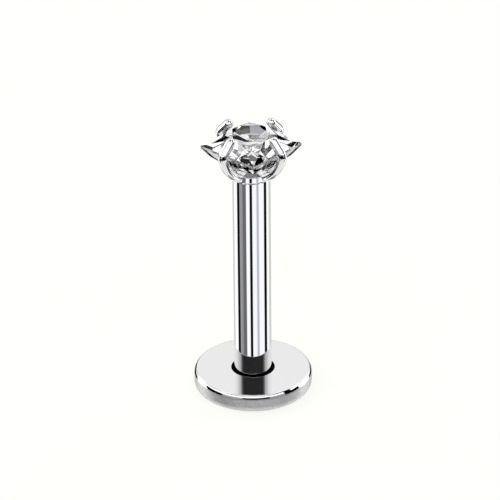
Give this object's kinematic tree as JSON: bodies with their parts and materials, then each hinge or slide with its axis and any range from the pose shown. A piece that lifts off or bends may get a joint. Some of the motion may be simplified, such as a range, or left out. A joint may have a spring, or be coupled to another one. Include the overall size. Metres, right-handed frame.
{
  "type": "labret stud",
  "caption": "Labret stud with a flat round base disc, a straight post and a screwed-in square clear stone held by bent wire claws.",
  "frame": {"origin": "centre of the underside of the base disc", "axes": "+Z along the post, from the disc up to the stone; the stone's corners point along X and Y, and the claws stand halfway between them"},
  "size_m": [0.0041, 0.004, 0.01],
  "materials": {
    "base_disc": "surgical steel, mirror-polished top with a satin rim",
    "post": "mirror-polished surgical steel",
    "setting": "polished surgical steel",
    "stone": "clear cut cubic zirconia"
  },
  "bodies": {
    "root": {"base_disc": "base_disc", "post": "post", "setting": "setting", "stone": "stone"}
  },
  "joints": []
}
